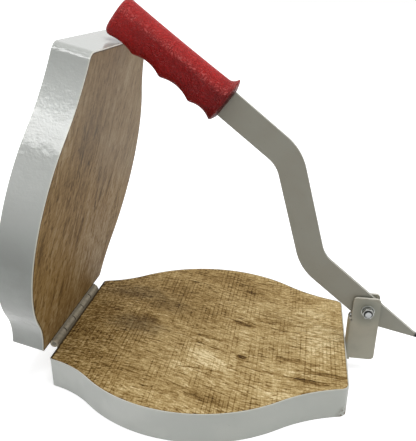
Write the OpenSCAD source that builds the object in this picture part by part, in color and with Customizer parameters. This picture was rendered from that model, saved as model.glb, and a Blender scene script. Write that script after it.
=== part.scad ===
// Tortilla press: two thick edge-banded boards on a hinge, and a bent flat-bar lever
// that turns on a bolt between the ears of a folded bracket.
// Millimetres. X runs from the hinge end to the lever end, Y across, Z up.
// The origin is the middle of the base board's underside.
// The lid stands open and leans in the first finger groove of the lever's grip.

/* [Boards] */
// Length of each board, from the hinge end to the lever end
board_length = 280; // [265:1:300]
// Radius of the round pressing area
disc_radius = 138; // [128:0.5:144]
// How far the round lies from mid-length towards the hinge end
disc_offset = 5.5; // [0:0.5:10]
// Width of the straight end that carries the hinge
hinge_end_width = 165; // [150:1:175]
// Width of the straight end that carries the bracket
lever_end_width = 161; // [150:1:175]
// Angle at which the sides flare away from the straight ends
flare_angle = 12; // [8:0.5:16]
// Radius of the two corners beside the hinge
hinge_corner_radius = 4; // [3:0.5:8]
// Radius of the two corners beside the bracket
lever_corner_radius = 9; // [6:0.5:11]
// Thickness of each board with its two sheets
board_thickness = 30.3; // [27:0.1:36]
// Thickness of each wood-grain sheet
sheet_thickness = 0.8; // [0.5:0.1:1.5]
// Thickness of the edge band
band_thickness = 1; // [0.8:0.1:2.5]
// Gap between the two pressing faces when the press is shut
closed_gap = 4; // [2:0.1:6]
// How far the lid stands open, from shut
lid_angle = 75.9; // [72:0.1:80]

/* [Hinge] */
// Length of the hinge along the boards' ends
hinge_length = 120; // [110:1:140]
// How far the hinge sits off the middle, towards the front side
hinge_shift = 0; // [0:0.5:8]
// Distance from the boards' end faces to the pin's axis
hinge_standoff = 4.6; // [4.4:0.1:6]
// Outer radius of the rolled barrel
barrel_radius = 4; // [3.6:0.1:4.2]
// Radius of the hinge pin
pin_radius = 2.2; // [1.6:0.1:2.4]
// Radial clearance of the pin in the barrel
pin_clearance = 0.05; // [0.02:0.01:0.1]
// Length of one knuckle of the barrel
knuckle_length = 24; // [18:0.5:30]
// Gap between neighbouring knuckles
knuckle_gap = 0.4; // [0.2:0.1:0.8]
// Clearance round the other leaf's knuckles
leaf_clearance = 0.4; // [0.3:0.1:0.8]
// Thickness of the hinge leaves
leaf_thickness = 1.8; // [1.5:0.1:2.2]
// Width of each leaf, from the pin's axis to its edge
leaf_width = 26; // [22:0.5:28]

/* [Wood screws] */
// Number of screws in each hinge leaf
hinge_screw_count = 4; // [3:1:5]
// Distance between neighbouring hinge screws
hinge_screw_pitch = 32; // [20:0.5:33]
// Distance from the pin's axis to the hinge screws
hinge_screw_drop = 16; // [13:0.5:18]
// Length of the hinge screws
hinge_screw_length = 24; // [16:1:30]
// Shank radius of the hinge screws
hinge_screw_radius = 1.9; // [1.5:0.1:2.2]
// Head radius of the hinge screws
hinge_screw_head = 3.6; // [3.2:0.1:4]
// Length of the bracket screws
bracket_screw_length = 32; // [20:1:40]
// Shank radius of the bracket screws
bracket_screw_radius = 1.7; // [1.4:0.1:1.8]
// Head radius of the bracket screws
bracket_screw_head = 3; // [2.5:0.1:3.2]
// Height of the lower bracket screw above the table
bracket_screw_height = 17; // [16:0.5:18]
// Distance between the two bracket screws
bracket_screw_pitch = 8; // [7:0.5:8]
// Depth of the countersunk screw heads
screw_head_depth = 1.6; // [1.2:0.1:1.8]
// Width of the cross slots in the screw heads
cross_slot = 0.9; // [0.6:0.1:1.2]
// Clearance round screw shanks and heads
screw_clearance = 0.05; // [0.02:0.01:0.1]

/* [Bracket] */
// Sheet thickness of the folded bracket
bracket_thickness = 2.7; // [2:0.1:3.2]
// Height of the bracket's lower edge above the table
bracket_bottom = 12.5; // [10:0.5:13]
// Height of the web's upper edge above the table
web_top = 58; // [50:0.5:62]
// Distance from the board's end to the ears' outer edge
ear_reach = 28.7; // [26:0.1:32]
// Height of the ears' upper edge above the bolt's axis
ear_above_bolt = 13.3; // [12:0.1:18]
// How far the ears end above the web's lower edge
ear_lift = 2; // [1:0.5:4]
// Radius of the ears' corners
ear_corner = 4; // [2:0.5:5]
// Radius of the relief hole at the top of each fold
relief_radius = 1; // [0.6:0.1:1.4]
// Height of the rounded shoulder at the top of each fold
shoulder_height = 5; // [4:0.5:6]
// Distance from the board's end to the bolt's axis
bolt_reach = 17; // [16.5:0.1:18]
// Height of the bolt's axis above the table
bolt_height = 69.5; // [67:0.1:74]

/* [Pivot hardware] */
// Radius of the pivot bolt
bolt_radius = 3; // [2.5:0.1:3.5]
// Radial clearance of the bolt in its holes
bolt_clearance = 0.05; // [0.02:0.01:0.1]
// Width of the bolt's head and nut across flats
hex_width = 10; // [9:0.5:11]
// Height of the bolt's head
head_height = 4; // [3:0.1:5]
// Height of the nut
nut_height = 5; // [4:0.1:6]
// How far the bolt stands out of the nut
bolt_overhang = 1.8; // [0.5:0.1:4]
// Outer radius of the washers
washer_radius = 6.4; // [6:0.1:7.5]
// Thickness of the outer washers
washer_thickness = 1.2; // [0.8:0.1:1.6]
// Thickness of the spacer washers beside the bar
spacer_thickness = 1.4; // [0.6:0.1:2]
// Side play of the bar between its spacer washers and the ears
side_play = 0.2; // [0.1:0.05:0.6]

/* [Lever] */
// Width of the flat bar
bar_width = 25.4; // [22:0.1:26]
// Thickness of the flat bar
bar_thickness = 4.8; // [4:0.1:6]
// Radius of the two bends, along the middle of the bar
bend_radius = 42; // [30:1:55]
// Direction of the bar's lower arm, from level towards the lever end
lower_arm_angle = 141; // [137:0.1:144]
// Direction of the bar's middle stretch
middle_angle = 105.9; // [102:0.1:110]
// Direction of the bar's upper arm
upper_arm_angle = 141.9; // [138:0.1:146]
// Distance from the bolt's axis to the lower bend
lower_arm = 73.2; // [65:0.1:80]
// Distance from the bolt's axis to the end of the nose
nose_length = 56; // [45:0.5:57]
// Distance from the bolt's axis to the start of the nose's slanted cut
nose_cut_start = 9; // [6:0.5:14]
// Height of the nose's blunt end
nose_end = 2; // [1:0.5:5]

/* [Grip] */
// Length of the grip before its first finger groove
end_lobe = 5.4; // [4:0.1:8]
// Widths of the four finger grooves, from the free end
finger_widths = [25, 29.5, 32, 23.5]; // [22:0.5:34]
// Depths of the four finger grooves, from the free end
finger_depths = [2.2, 3.8, 4.3, 3.3]; // [2:0.1:4.5]
// Length of the grip behind its last finger groove
guard_length = 4; // [3.5:0.5:8]
// Wall under the bar at the lobes between the grooves
lobe_wall = 7.6; // [6.5:0.1:9]
// Wall above the bar at the free end
top_wall_tip = 1.9; // [1.5:0.1:4]
// Wall above the bar at the guard
top_wall_guard = 4.8; // [3:0.1:6]
// Half of the grip's thickness across the bar
grip_half_thickness = 12.5; // [10:0.5:16]
// How far the guard stands above the grip
guard_height = 4.6; // [2:0.1:7]
// How far the guard stands out at the sides
guard_side = 3; // [1:0.1:5]
// Distance from the guard's face to its rim
guard_rim = 3.5; // [2:0.1:4]
// Length over which the guard flares out of the grip
guard_flare = 7; // [4:0.5:10]
// Radius of the rounded free end
end_radius = 5; // [3:0.5:6]
// Wall between the bar's end and the grip's free end
end_wall = 5; // [3:0.5:8]
// Play of the bar in the grip
sleeve_play = 0.1; // [0.05:0.05:0.3]
// Gap between the grip and the lid that leans on it
rest_gap = 0.3; // [0.2:0.1:0.6]

/* [Hidden] */
$fn = 96;

overcut = 1;
bend_steps = 16;
grip_sides = 28;
grip_squareness = 2.3;
finger_steps = 7;
face_lip = 1.5;

end_x = board_length / 2;
hinge_x = -end_x - hinge_standoff;
hinge_z = board_thickness + closed_gap / 2;
hinge_far_y = hinge_length / 2 - hinge_shift;
hinge_near_y = -hinge_length / 2 - hinge_shift;
knuckle_count = ceil(hinge_length / knuckle_length);

bolt_x = end_x + bolt_reach;
ear_gap = bar_thickness + 2 * spacer_thickness + side_play;
ear_outer_y = ear_gap / 2 + bracket_thickness;
ear_top = bolt_height + ear_above_bolt;
bolt_hole = bolt_radius + bolt_clearance;

// Directions and the outline of the lever in the plane y = 0, as [x, z]
function along(angle) = [cos(angle), sin(angle)];
function left_of(angle) = [-sin(angle), cos(angle)];
bolt_point = [bolt_x, bolt_height];
lower_bend = bolt_point + lower_arm * along(lower_arm_angle);

// The lid's upper inside edge in its open place, which seats in the first finger groove
lid_arm = [2 * end_x + hinge_standoff, closed_gap / 2];
lid_edge = [hinge_x, hinge_z] + lid_arm[0] * along(lid_angle) + lid_arm[1] * left_of(lid_angle);
grip_seat_depth = bar_width / 2 + lobe_wall - finger_depths[0] + rest_gap;
seat_on_axis = lid_edge - grip_seat_depth * left_of(upper_arm_angle);

// The middle stretch and the upper arm are as long as it takes to reach that seat
reach = seat_on_axis - lower_bend;
reach_turn = cross2(along(middle_angle), along(upper_arm_angle));
middle_length = cross2(reach, along(upper_arm_angle)) / reach_turn;
seat_distance = cross2(along(middle_angle), reach) / reach_turn;
upper_bend = lower_bend + middle_length * along(middle_angle);
function cross2(a, b) = a[0] * b[1] - a[1] * b[0];

grip_length = end_lobe + sum(finger_widths) + guard_length;
grip_end = seat_distance + end_lobe + finger_widths[0] / 2;
grip_start = grip_end - grip_length;
bar_end = grip_end - end_wall;
function sum(list, i = 0) = i < len(list) ? list[i] + sum(list, i + 1) : 0;

// ---------- boards ----------

// Radius of the hollow flare that joins a straight end to the round
function flare_radius(span, half_width) =
    (span * span + half_width * half_width - disc_radius * disc_radius)
    / (2 * (disc_radius - span * sin(flare_angle) - half_width * cos(flare_angle)));

// One end of the board's outline, from its straight end at x = 0 to the round's centre
module board_end(span, half_width, corner_radius, inset) {
    flare = flare_radius(span, half_width);
    centre = [-flare * sin(flare_angle), half_width + flare * cos(flare_angle)];
    to_flare = (centre - [span, 0]) / (disc_radius + flare);
    meet = [span, 0] + (disc_radius - inset) * to_flare;
    corner_x = corner_radius;
    corner_y = centre[1] - sqrt(pow(flare + corner_radius, 2) - pow(corner_x - centre[0], 2));
    corner = [corner_x, corner_y];
    leave = corner + (corner_radius - inset) * (centre - corner) / (flare + corner_radius);
    difference() {
        polygon([
            [span, 0], meet, leave, [inset, corner_y],
            [inset, -corner_y], [leave[0], -leave[1]], [meet[0], -meet[1]]
        ]);
        for (side = [-1, 1]) translate([centre[0], side * centre[1]]) circle(flare + inset, $fn = 240);
    }
    for (side = [-1, 1]) translate([corner_x, side * corner_y]) circle(corner_radius - inset);
}

// The board's outline, drawn in by the inset all round; the ends cut the round off straight
module board_outline(inset) {
    hinge_span = end_x - disc_offset;
    lever_span = end_x + disc_offset;
    intersection() {
        translate([inset - end_x, -disc_radius]) square([board_length - 2 * inset, 2 * disc_radius]);
        union() {
            translate([-disc_offset, 0]) circle(disc_radius - inset, $fn = 240);
            translate([-end_x, 0]) board_end(hinge_span, hinge_end_width / 2, hinge_corner_radius, inset);
            translate([end_x, 0]) mirror([1, 0])
                board_end(lever_span, lever_end_width / 2, lever_corner_radius, inset);
        }
    }
}

module board_slab(bottom, height, inset) {
    translate([0, 0, bottom]) linear_extrude(height) board_outline(inset);
}

module board_core() {
    board_slab(sheet_thickness, board_thickness - 2 * sheet_thickness, band_thickness);
}

module board_band() {
    difference() {
        board_slab(0, board_thickness, 0);
        board_slab(-overcut, board_thickness + 2 * overcut, band_thickness);
    }
}

// Moves the base board's counterpart to the lid: mirrored across the gap, then opened
module on_lid() {
    translate([hinge_x, 0, hinge_z]) rotate([0, -lid_angle, 0])
        mirror([0, 0, 1]) translate([-hinge_x, 0, -hinge_z]) children();
}

// ---------- screws ----------

// A countersunk wood screw that points along +X, its head's face at x = 0
module wood_screw(length, radius, head, clearance) {
    tip = 2 * radius;
    rotate([0, 90, 0]) {
        translate([0, 0, -clearance]) cylinder(h = clearance + 0.001, r = head + clearance);
        cylinder(h = screw_head_depth, r1 = head + clearance, r2 = radius + clearance);
        cylinder(h = length - tip + clearance, r = radius + clearance);
        translate([0, 0, length - tip + clearance])
            cylinder(h = tip, r1 = radius + clearance, r2 = radius / 4);
    }
}

module cross_recess(head) {
    for (turn = [0, 90]) rotate([turn, 0, 0])
        translate([-overcut, -head * 0.6, -cross_slot / 2])
            cube([overcut + screw_head_depth * 0.6, head * 1.2, cross_slot]);
}

module hinge_screw_places() {
    first = -(hinge_screw_count - 1) / 2 * hinge_screw_pitch - hinge_shift;
    for (i = [0 : hinge_screw_count - 1])
        translate([-end_x - leaf_thickness, first + i * hinge_screw_pitch, hinge_z - hinge_screw_drop])
            children();
}

module bracket_screw_places() {
    for (i = [0 : 1])
        translate([end_x + bracket_thickness, 0, bracket_screw_height + i * bracket_screw_pitch])
            mirror([1, 0, 0]) children();
}

module hinge_screw_holes() {
    hinge_screw_places()
        wood_screw(hinge_screw_length, hinge_screw_radius, hinge_screw_head, screw_clearance);
}

module bracket_screw_holes() {
    bracket_screw_places()
        wood_screw(bracket_screw_length, bracket_screw_radius, bracket_screw_head, screw_clearance);
}

module hinge_screws() {
    hinge_screw_places() difference() {
        wood_screw(hinge_screw_length, hinge_screw_radius, hinge_screw_head, 0);
        cross_recess(hinge_screw_head);
    }
}

// ---------- hinge ----------

// A round bar or cut along the hinge's axis, between two places across the press
module along_hinge(from_y, to_y, radius) {
    translate([hinge_x, to_y, hinge_z]) rotate([90, 0, 0]) cylinder(h = to_y - from_y, r = radius);
}

// Knuckles are counted from the far side, and the last one is cut to the hinge's length
function knuckle_far(i) = hinge_far_y - i * knuckle_length;
function knuckle_near(i) = max(knuckle_far(i) - knuckle_length, hinge_near_y);

// The notch in one leaf for a knuckle of the other
module leaf_notch(i) {
    from_y = knuckle_near(i) - (knuckle_near(i) > hinge_near_y ? 0 : overcut);
    to_y = knuckle_far(i) + (i > 0 ? 0 : overcut);
    depth = barrel_radius + leaf_clearance;
    translate([hinge_x - depth, from_y, hinge_z - depth]) cube([2 * depth, to_y - from_y, 2 * depth]);
}

// The leaf on the base board's end, with every second knuckle from the first one given
module hinge_leaf(first) {
    difference() {
        union() {
            translate([-end_x - leaf_thickness, hinge_near_y, hinge_z - leaf_width])
                cube([leaf_thickness, hinge_length, leaf_width]);
            for (i = [first : 2 : knuckle_count - 1])
                along_hinge(
                    knuckle_near(i) + (knuckle_near(i) > hinge_near_y ? knuckle_gap / 2 : 0),
                    knuckle_far(i) - (i > 0 ? knuckle_gap / 2 : 0),
                    barrel_radius
                );
        }
        for (i = [1 - first : 2 : knuckle_count - 1]) leaf_notch(i);
        along_hinge(hinge_near_y - overcut, hinge_far_y + overcut, pin_radius + pin_clearance);
        hinge_screw_holes();
    }
}

// ---------- bracket ----------

module rounded_rectangle(from, to, radius) {
    translate([from[0] + radius, from[1]]) square([to[0] - from[0] - 2 * radius, to[1] - from[1]]);
    translate([from[0], from[1] + radius]) square([to[0] - from[0], to[1] - from[1] - 2 * radius]);
    for (x = [from[0] + radius, to[0] - radius], y = [from[1] + radius, to[1] - radius])
        translate([x, y]) circle(radius, $fn = 48);
}

// A round bar or cut across the press on the bolt's axis
module along_bolt(from_y, to_y, radius) {
    translate([bolt_x, to_y, bolt_height]) rotate([90, 0, 0]) cylinder(h = to_y - from_y, r = radius);
}

// The folded channel seen from above, open towards the lever end
module channel_section() {
    fold = bracket_thickness;
    difference() {
        union() {
            translate([end_x + fold, -ear_outer_y]) square([fold, 2 * ear_outer_y]);
            translate([end_x, -ear_outer_y + fold]) square([2 * fold, 2 * (ear_outer_y - fold)]);
            for (side = [-1, 1])
                translate([end_x + fold, side * (ear_outer_y - fold)]) circle(fold, $fn = 48);
        }
        translate([end_x + fold, -ear_gap / 2]) square([2 * fold, ear_gap]);
    }
}

// The folds rise above the web's upper edge and end in a rounded shoulder beside the ears
module folded_channel() {
    shoulder_top = web_top + shoulder_height / 2;
    shoulder_edge = [
        for (a = [0 : 15 : 90])
            [end_x + bracket_thickness * (1 - cos(a)), shoulder_top - shoulder_height * (1 - sin(a))]
    ];
    difference() {
        translate([0, 0, bracket_bottom]) linear_extrude(shoulder_top - bracket_bottom) channel_section();
        translate([end_x - overcut, -ear_gap / 2, web_top])
            cube([3 * bracket_thickness, ear_gap, shoulder_height]);
        translate([0, ear_outer_y + overcut, 0]) rotate([90, 0, 0])
            linear_extrude(2 * (ear_outer_y + overcut)) polygon(concat(
                [[end_x - overcut, shoulder_top + overcut], [end_x - overcut, shoulder_top - shoulder_height]],
                shoulder_edge,
                [[end_x + bracket_thickness, shoulder_top + overcut]]
            ));
    }
}

module ear(inner_y) {
    from = [end_x + bracket_thickness, bracket_bottom + ear_lift];
    to = [end_x + ear_reach, ear_top];
    translate([0, inner_y + bracket_thickness, 0]) rotate([90, 0, 0])
        linear_extrude(bracket_thickness) rounded_rectangle(from, to, ear_corner);
}

// ---------- lever ----------

// How much of each neighbouring straight a bend takes up
function bend_cut(turn) = bend_radius * tan(abs(turn) / 2);

// One edge of a bend, seen from the bolt: side is 1 for the left edge and -1 for the right
function bend_centre(corner, angle, turn) =
    corner - bend_cut(turn) * along(angle) + sign(turn) * bend_radius * left_of(angle);
function bend_edge(corner, angle, turn, side) = [
    for (k = [0 : bend_steps])
        bend_centre(corner, angle, turn)
            + (side * bar_width / 2 - sign(turn) * bend_radius) * left_of(angle + turn * k / bend_steps)
];

// The bar's edge from the lower bend to its end in the grip
function bar_edge(side) = concat(
    bend_edge(lower_bend, lower_arm_angle, middle_angle - lower_arm_angle, side),
    bend_edge(upper_bend, middle_angle, upper_arm_angle - middle_angle, side),
    [upper_bend + bar_end * along(upper_arm_angle) + side * bar_width / 2 * left_of(upper_arm_angle)]
);
function reversed(list) = [for (i = [len(list) - 1 : -1 : 0]) list[i]];

// A point beside the bolt, measured along the lower arm and to its left
function by_bolt(ahead, left) =
    bolt_point + ahead * along(lower_arm_angle) + left * left_of(lower_arm_angle);

// Past the bolt the bar ends in a nose, its lower edge cut on a slant
module bar_outline() {
    polygon(concat(
        [
            by_bolt(-nose_length, -bar_width / 2),
            by_bolt(-nose_length, nose_end - bar_width / 2),
            by_bolt(-nose_cut_start, bar_width / 2)
        ],
        bar_edge(1),
        reversed(bar_edge(-1))
    ));
}

// Places children in the upper arm's own frame: X along the arm from its bend,
// Y across the press and Z towards the arm's upper edge
module on_upper_arm() {
    translate([upper_bend[0], 0, upper_bend[1]]) rotate([0, -upper_arm_angle, 0])
        mirror([0, 0, 1]) children();
}

// ---------- grip ----------

// How far a rounded end draws in at a distance from the end face
function end_inset(d) =
    d < end_radius ? end_radius - sqrt(end_radius * end_radius - pow(end_radius - d, 2)) : 0;

// The guard's rise from the grip to its rim, 0 to 1, at a distance from the guard's face
function guard_rise(d) =
    d > guard_rim + guard_flare ? 0 : d > guard_rim ? pow(1 - (d - guard_rim) / guard_flare, 3) : 1;

// Distance from the free end at which a finger groove starts
function groove_start(i) = end_lobe + (i > 0 ? sum([for (k = [0 : i - 1]) finger_widths[k]]) : 0);

// How deep the finger grooves cut into the lobes at a distance from the free end
function groove_cut(s, i = 0) =
    s < end_lobe || i >= len(finger_widths) ? 0 :
    s <= groove_start(i + 1) ? finger_depths[i] * (1 - pow(2 * (s - groove_start(i)) / finger_widths[i] - 1, 2)) :
    groove_cut(s, i + 1);

// Stations along the grip, from the free end to the guard's face
grip_stations = concat(
    [0, 0.1 * end_radius, 0.3 * end_radius, 0.6 * end_radius, end_lobe],
    [for (i = [0 : len(finger_widths) - 1], k = [1 : finger_steps])
        groove_start(i) + finger_widths[i] * k / finger_steps],
    [grip_length - guard_rim, grip_length]
);

// Upper, lower and side reach of the grip's section at a distance from the free end
function mix(a, b, share) = a + (b - a) * share;
function face_share(s) = max(0, 1 - (grip_length - s) / guard_rim);
function body_up(s) = bar_width / 2 + mix(top_wall_tip, top_wall_guard, pow(s / grip_length, 2));
function grip_up(s) = mix(
    body_up(s) + guard_height * guard_rise(grip_length - s) - end_inset(s),
    bar_width / 2 + face_lip, face_share(s));
function grip_down(s) = mix(
    bar_width / 2 + lobe_wall - groove_cut(s) - end_inset(s),
    bar_width / 2 + face_lip, face_share(s));
function grip_side(s) = mix(
    grip_half_thickness + guard_side * guard_rise(grip_length - s) - end_inset(s),
    bar_thickness / 2 + 2 * face_lip, face_share(s));

function rounded(value) = sign(value) * pow(abs(value), 2 / grip_squareness);
function grip_ring(s) = [
    for (k = [0 : grip_sides - 1]) let (a = 360 * k / grip_sides) [
        grip_end - s,
        grip_side(s) * rounded(cos(a)),
        (grip_up(s) - grip_down(s)) / 2 + (grip_up(s) + grip_down(s)) / 2 * rounded(sin(a))
    ]
];

module grip_body() {
    rings = len(grip_stations);
    points = [for (s = grip_stations) each grip_ring(s)];
    sides = [
        for (i = [0 : rings - 2], k = [0 : grip_sides - 1]) let (n = (k + 1) % grip_sides)
            [i * grip_sides + k, i * grip_sides + n, (i + 1) * grip_sides + n, (i + 1) * grip_sides + k]
    ];
    free_cap = [for (k = [grip_sides - 1 : -1 : 0]) k];
    guard_cap = [for (k = [0 : grip_sides - 1]) (rings - 1) * grip_sides + k];
    polyhedron(points, concat(sides, [free_cap, guard_cap]));
}

// ---------- the pieces ----------

module base_core() color("#a98a5f") difference() {
    board_core();
    hinge_screw_holes();
    bracket_screw_holes();
}

module base_face_sheet() color("#b99a68")
    board_slab(board_thickness - sheet_thickness, sheet_thickness, band_thickness);

module base_back_sheet() color("#b0905f") board_slab(0, sheet_thickness, band_thickness);

module base_edge_band() color("#b3b8b4") difference() {
    board_band();
    hinge_screw_holes();
    bracket_screw_holes();
}

module lid_core() color("#a98a5f") on_lid() difference() {
    board_core();
    hinge_screw_holes();
}

module lid_face_sheet() color("#857258") on_lid()
    board_slab(board_thickness - sheet_thickness, sheet_thickness, band_thickness);

module lid_back_sheet() color("#b0905f") on_lid() board_slab(0, sheet_thickness, band_thickness);

module lid_edge_band() color("#ccd1ce") on_lid() difference() {
    board_band();
    hinge_screw_holes();
}

module hinge_leaf_base() color("#8a8476") hinge_leaf(0);

module hinge_leaf_lid() color("#8a8476") on_lid() hinge_leaf(1);

module hinge_pin() color("#9a9a98") along_hinge(hinge_near_y, hinge_far_y, pin_radius);

module hinge_screws_base() color("#9a9a98") hinge_screws();

module hinge_screws_lid() color("#9a9a98") on_lid() hinge_screws();

module pivot_bracket() color("#8c8a7c") difference() {
    union() {
        folded_channel();
        ear(ear_gap / 2);
        ear(-ear_outer_y);
    }
    translate([end_x + bracket_thickness, ear_outer_y + overcut, web_top]) rotate([90, 0, 0])
        cylinder(h = 2 * (ear_outer_y + overcut), r = relief_radius, $fn = 48);
    along_bolt(-ear_outer_y - overcut, ear_outer_y + overcut, bolt_hole);
    bracket_screw_holes();
}

module bracket_screws() color("#9a9a98") bracket_screw_places() difference() {
    wood_screw(bracket_screw_length, bracket_screw_radius, bracket_screw_head, 0);
    cross_recess(bracket_screw_head);
}

module hex_prism(from_y, height) {
    translate([bolt_x, from_y + height, bolt_height]) rotate([90, 0, 0])
        cylinder(h = height, r = hex_width / sqrt(3), $fn = 6);
}

head_y = ear_outer_y + washer_thickness;
nut_y = -ear_outer_y - washer_thickness - nut_height;

module pivot_bolt() color("#b4b6b8") {
    along_bolt(nut_y - bolt_overhang, head_y, bolt_radius);
    hex_prism(head_y, head_height);
}

module pivot_nut() color("#b4b6b8") difference() {
    hex_prism(nut_y, nut_height);
    along_bolt(nut_y - overcut, nut_y + nut_height + overcut, bolt_hole);
}

module washer(from_y, thickness) difference() {
    along_bolt(from_y, from_y + thickness, washer_radius);
    along_bolt(from_y - overcut, from_y + thickness + overcut, bolt_hole);
}

module head_washer() color("#b4b6b8") washer(ear_outer_y, washer_thickness);

module nut_washer() color("#b4b6b8") washer(-ear_outer_y - washer_thickness, washer_thickness);

module spacer_washers() color("#b4b6b8") {
    inner_y = bar_thickness / 2 + side_play / 4;
    washer(inner_y, spacer_thickness);
    washer(-inner_y - spacer_thickness, spacer_thickness);
}

module lever_bar() color("#7e7c70") difference() {
    translate([0, bar_thickness / 2, 0]) rotate([90, 0, 0]) linear_extrude(bar_thickness) bar_outline();
    along_bolt(-bar_thickness, bar_thickness, bolt_hole);
}

module lever_grip() color("#8a2626") on_upper_arm() difference() {
    grip_body();
    translate([0, -bar_thickness / 2 - sleeve_play, -bar_width / 2 - sleeve_play])
        cube([bar_end + sleeve_play, bar_thickness + 2 * sleeve_play, bar_width + 2 * sleeve_play]);
}

base_core();
base_face_sheet();
base_back_sheet();
base_edge_band();
lid_core();
lid_face_sheet();
lid_back_sheet();
lid_edge_band();
hinge_leaf_base();
hinge_leaf_lid();
hinge_pin();
hinge_screws_base();
hinge_screws_lid();
pivot_bracket();
bracket_screws();
pivot_bolt();
pivot_nut();
head_washer();
nut_washer();
spacer_washers();
lever_bar();
lever_grip();
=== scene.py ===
import math

import bmesh
import bpy
from mathutils import Matrix, Vector


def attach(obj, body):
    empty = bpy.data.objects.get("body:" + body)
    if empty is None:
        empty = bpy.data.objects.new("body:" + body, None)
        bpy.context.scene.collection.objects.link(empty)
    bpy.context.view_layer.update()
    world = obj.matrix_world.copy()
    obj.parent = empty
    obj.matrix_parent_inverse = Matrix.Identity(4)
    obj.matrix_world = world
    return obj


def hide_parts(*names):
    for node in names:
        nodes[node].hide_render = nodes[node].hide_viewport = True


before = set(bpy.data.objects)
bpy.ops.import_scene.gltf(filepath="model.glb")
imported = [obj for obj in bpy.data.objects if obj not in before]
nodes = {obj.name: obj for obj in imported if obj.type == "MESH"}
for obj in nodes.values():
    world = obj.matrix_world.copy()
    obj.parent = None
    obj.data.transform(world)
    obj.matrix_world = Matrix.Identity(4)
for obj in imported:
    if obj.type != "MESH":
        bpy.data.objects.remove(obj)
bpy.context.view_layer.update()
MM = 0.001


# ---------- camera ----------
# Stands in front of the press, level with the grip and a little towards the lever end,
# and looks down on the open boards.
yaw, pitch, roll = (math.radians(a) for a in (8.959, -24.847, 0.594))
ahead = Vector((-math.sin(yaw) * math.cos(pitch), math.cos(yaw) * math.cos(pitch), math.sin(pitch)))
level_right = Vector((math.cos(yaw), math.sin(yaw), 0))
level_up = level_right.cross(ahead)
right = level_right * math.cos(roll) + level_up * math.sin(roll)
up = level_up * math.cos(roll) - level_right * math.sin(roll)
place = Matrix((right, up, -ahead)).transposed().to_4x4()
place.translation = (0.08065, -0.51588, 0.3551)
camera = bpy.data.objects.new("camera", bpy.data.cameras.new("camera"))
camera.matrix_world = place
camera.data.lens = 47.70
camera.data.shift_x = -0.0011
camera.data.shift_y = 0.0784
camera.data.clip_start = 0.01
bpy.context.scene.collection.objects.link(camera)
bpy.context.scene.camera = camera
bpy.context.scene.view_settings.view_transform = "Standard"


# ---------- studio floor ----------
# A white paper sweep, matt, lit from above. The lens sees its lit parts as plain white, and the
# press keeps a faint shadow on it.
FLOOR_RADIUS, FLOOR_DROP = 14, 0.3 * MM


def linear(hex_colour):
    """An sRGB hex colour as the linear RGBA that the shaders take."""
    parts = [int(hex_colour[i:i + 2], 16) / 255 for i in (1, 3, 5)]
    return [p / 12.92 if p <= 0.04045 else ((p + 0.055) / 1.055) ** 2.4 for p in parts] + [1]


def new_material(name):
    material = bpy.data.materials.new(name)
    material.use_nodes = True
    material.node_tree.nodes.clear()
    return material, material.node_tree


def add(tree, kind, inputs=None, **settings):
    """Adds a shader node with its settings. An input is a value, one of another node's outputs, or
    the node itself for its first output."""
    node = tree.nodes.new("ShaderNode" + kind)
    for key, value in settings.items():
        setattr(node, key, value)
    for socket, value in (inputs or {}).items():
        if isinstance(value, bpy.types.Node):
            value = value.outputs[0]
        if isinstance(value, bpy.types.NodeSocket):
            tree.links.new(value, node.inputs[socket])
        else:
            node.inputs[socket].default_value = value
    return node


def seen_directly(tree):
    """1 where the lens, or a mirror or glass that it looks at, meets the surface."""
    path = add(tree, "LightPath")
    mirrored = add(tree, "Math", {0: path.outputs["Is Camera Ray"], 1: path.outputs["Is Glossy Ray"]},
                   operation="MAXIMUM")
    return add(tree, "Math", {0: mirrored, 1: path.outputs["Is Transmission Ray"]}, operation="MAXIMUM")


def put_in_scene(name, mesh, shape, material):
    """Writes a bmesh to its mesh and puts it in the scene with one material."""
    shape.to_mesh(mesh)
    shape.free()
    mesh.name = name
    mesh.materials.clear()
    mesh.materials.append(material)
    item = bpy.data.objects.new(name, mesh)
    bpy.context.scene.collection.objects.link(item)
    return item


paper, tree = new_material("white_paper_sweep")
where = add(tree, "TexCoord")
away = add(tree, "VectorMath", {0: where.outputs["Object"]}, operation="LENGTH")
lift = add(tree, "MapRange", {
    "Value": away.outputs["Value"], "From Min": 0.25, "From Max": 1.2, "To Min": 0.62, "To Max": 0.85})
lit = add(tree, "BsdfDiffuse", {"Color": linear("#e6e6e6")})
glow = add(tree, "Emission", {"Color": (1, 1, 1, 1), "Strength": lift})
bright = add(tree, "AddShader", {0: lit, 1: glow})
choice = add(tree, "MixShader", {0: seen_directly(tree), 1: lit, 2: bright})
add(tree, "OutputMaterial", {"Surface": choice})

shape = bmesh.new()
bmesh.ops.create_circle(shape, cap_ends=True, radius=FLOOR_RADIUS, segments=64)
bmesh.ops.translate(shape, verts=shape.verts, vec=(0, 0, -FLOOR_DROP))
floor = put_in_scene("floor", bpy.data.meshes.new("floor"), shape, paper)


# ---------- studio light ----------
# White surroundings that fade towards the floor, and a wide diffuser high on the right. A small
# softbox in front is seen only as the gloss on the lid's band and on the grip.
world = bpy.data.worlds.new("studio")
world.use_nodes = True
tree = world.node_tree
tree.nodes.clear()
where = add(tree, "TexCoord")
height = add(tree, "SeparateXYZ", {0: where.outputs["Generated"]})
ambient = add(tree, "Background", {"Color": linear("#fbfcff"), "Strength": height.outputs[2]})
backdrop = add(tree, "Background", {"Color": (1, 1, 1, 1), "Strength": 1.0})
choice = add(tree, "MixShader", {0: seen_directly(tree), 1: ambient, 2: backdrop})
add(tree, "OutputWorld", {"Surface": choice})
bpy.context.scene.world = world

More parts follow.
